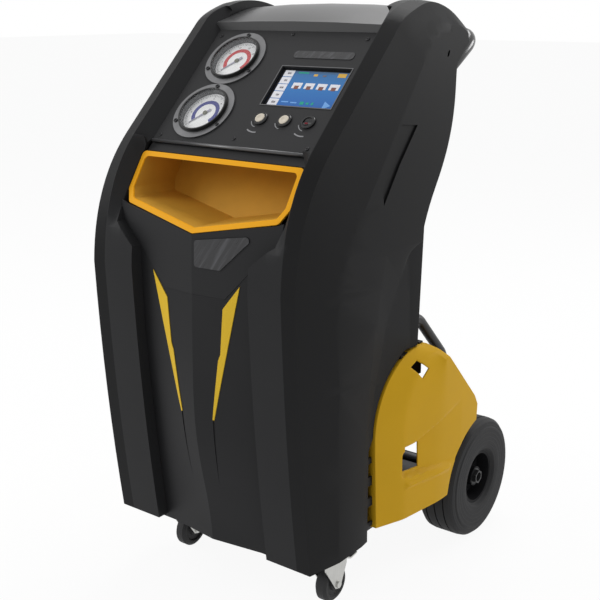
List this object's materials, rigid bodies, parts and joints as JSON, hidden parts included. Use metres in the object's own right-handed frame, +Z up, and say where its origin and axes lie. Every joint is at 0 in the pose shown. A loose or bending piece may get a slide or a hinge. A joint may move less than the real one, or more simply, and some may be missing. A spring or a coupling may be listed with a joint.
{
  "type": "refrigerant recovery machine",
  "caption": "Upright wheeled refrigerant recovery machine with a sloping gauge and display panel, a yellow storage tray, yellow wheel guards, big rear wheels and a push handle.",
  "frame": {"origin": "middle of the footprint at floor level", "axes": "+X to the machine's right seen from the front, -Y towards the user's side with the gauges, +Z up"},
  "size_m": [0.578, 0.724, 1.119],
  "materials": {
    "body_dark": "dark charcoal moulding, fine leather grain",
    "panel_dark": "near black moulding",
    "yellow": "golden yellow moulding, low sheen",
    "accent": "yellow inlay",
    "plate": "blank dark plate",
    "gauge_grey": "grey enamel flange",
    "dial": "white dial face",
    "needle": "black pointer",
    "lens": "clear lens",
    "screen": "blue display",
    "bezel": "satin ring",
    "button": "warm silver button",
    "black_gloss": "black switch moulding",
    "chrome": "bright plated tube",
    "frame_black": "black powder coat",
    "zinc": "zinc plate",
    "steel": "bright steel",
    "tyre": "black rubber, ribbed tread",
    "rim": "black nylon rim",
    "castor_tyre": "grey castor wheel",
    "pedal": "pressed steel pedal",
    "tank": "grey enamelled cylinder",
    "tank_valve": "brass valve body",
    "strap": "black webbing strap",
    "aluminium": "mill finish aluminium",
    "compressor": "black enamelled shell",
    "pump": "blue grey cast pump",
    "shroud": "black fan shroud",
    "drier": "blue enamelled filter shell",
    "brass": "brass",
    "screw": "steel screw"
  },
  "bodies": {
    "cabinet": {"base_tray": "frame_black", "side_shell_left": "body_dark", "side_shell_right": "body_dark", "front_panel": "panel_dark", "front_fascia": "body_dark", "slash_inlays": "accent", "blank_plates": "plate", "storage_tray": "yellow", "control_panel": "panel_dark", "top_cover": "body_dark", "rear_panel": "panel_dark", "gauge_case_high": "gauge_grey", "gauge_case_low": "gauge_grey", "gauge_dials": "dial", "gauge_lenses": "lens", "display_housing": "black_gloss", "display_glass": "screen", "control_bezels": "bezel", "handle_tube": "chrome", "handle_clamps": "frame_black", "frame_tubes": "frame_black", "axle_blocks": "frame_black", "axle": "steel", "castor_plates": "zinc", "wheel_guard_left": "yellow", "wheel_guard_right": "yellow", "guard_clips": "panel_dark", "refrigerant_tank": "tank", "tank_valve": "tank_valve", "tank_platform": "aluminium", "load_cell": "aluminium", "tank_strap": "strap", "compressor": "compressor", "vacuum_pump": "pump", "condenser": "aluminium", "fan_shroud": "shroud", "filter_drier": "drier", "manifold_block": "brass", "power_inlet": "black_gloss", "hose_ports": "brass", "cover_screws": "screw"},
    "wheel_left": {"wheel_tyre_left": "tyre", "wheel_rim_left": "rim", "wheel_bearings_left": "steel"},
    "wheel_right": {"wheel_tyre_right": "tyre", "wheel_rim_right": "rim", "wheel_bearings_right": "steel"},
    "castor_left": {"castor_fork_left": "zinc"},
    "castor_right": {"castor_fork_right": "zinc"},
    "castor_left_wheel": {"castor_wheel_left": "castor_tyre"},
    "castor_right_wheel": {"castor_wheel_right": "castor_tyre"},
    "castor_left_pedal": {"castor_pedal_left": "pedal"},
    "castor_right_pedal": {"castor_pedal_right": "pedal"},
    "first_button": {"button_first": "button"},
    "second_button": {"button_second": "button"},
    "rocker": {"power_rocker": "black_gloss"},
    "high_needle": {"gauge_needle_high": "needle"},
    "low_needle": {"gauge_needle_low": "needle"},
    "fan": {"cooling_fan": "shroud"}
  },
  "joints": [
    {"name": "wheel_left_spin", "type": "hinge", "parent": "cabinet", "child": "wheel_left", "pos_m": [-0.246, 0.232, 0.13], "axis": [1, 0, 0], "continuous": true},
    {"name": "castor_left_swivel", "type": "hinge", "parent": "cabinet", "child": "castor_left", "pos_m": [-0.182, -0.206, 0.092], "axis": [0, 0, 1], "continuous": true},
    {"name": "castor_left_roll", "type": "hinge", "parent": "castor_left", "child": "castor_left_wheel", "pos_m": [-0.182, -0.1785, 0.0375], "axis": [1, 0, 0], "continuous": true},
    {"name": "castor_left_brake", "type": "hinge", "parent": "castor_left", "child": "castor_left_pedal", "pos_m": [-0.182, -0.1565, 0.079], "axis": [1, 0, 0], "range_deg": [-12, 0]},
    {"name": "wheel_right_spin", "type": "hinge", "parent": "cabinet", "child": "wheel_right", "pos_m": [0.246, 0.232, 0.13], "axis": [1, 0, 0], "continuous": true},
    {"name": "castor_right_swivel", "type": "hinge", "parent": "cabinet", "child": "castor_right", "pos_m": [0.182, -0.206, 0.092], "axis": [0, 0, 1], "continuous": true},
    {"name": "castor_right_roll", "type": "hinge", "parent": "castor_right", "child": "castor_right_wheel", "pos_m": [0.182, -0.1785, 0.0375], "axis": [1, 0, 0], "continuous": true},
    {"name": "castor_right_brake", "type": "hinge", "parent": "castor_right", "child": "castor_right_pedal", "pos_m": [0.182, -0.1565, 0.079], "axis": [1, 0, 0], "range_deg": [-12, 0]},
    {"name": "first_button_press", "type": "slide", "parent": "cabinet", "child": "first_button", "axis": [0, 0.6967, -0.7174], "range_m": [0, 0.0025], "stiffness_N_per_m": 400},
    {"name": "second_button_press", "type": "slide", "parent": "cabinet", "child": "second_button", "axis": [0, 0.6967, -0.7174], "range_m": [0, 0.0025], "stiffness_N_per_m": 400},
    {"name": "rocker_tip", "type": "hinge", "parent": "cabinet", "child": "rocker", "pos_m": [0.1432, -0.20037, 0.91484], "axis": [1, 0, 0], "range_deg": [0, 12]},
    {"name": "high_needle_sweep", "type": "hinge", "parent": "cabinet", "child": "high_needle", "pos_m": [-0.1002, -0.10271, 1.01107], "axis": [0, -0.6967, 0.7174], "range_deg": [-270, 0]},
    {"name": "low_needle_sweep", "type": "hinge", "parent": "cabinet", "child": "low_needle", "pos_m": [-0.1002, -0.19561, 0.92085], "axis": [0, -0.6967, 0.7174], "range_deg": [-270, 0]},
    {"name": "fan_spin", "type": "hinge", "parent": "cabinet", "child": "fan", "pos_m": [0, -0.007, 0.5828], "axis": [0, 1, 0], "continuous": true}
  ]
}
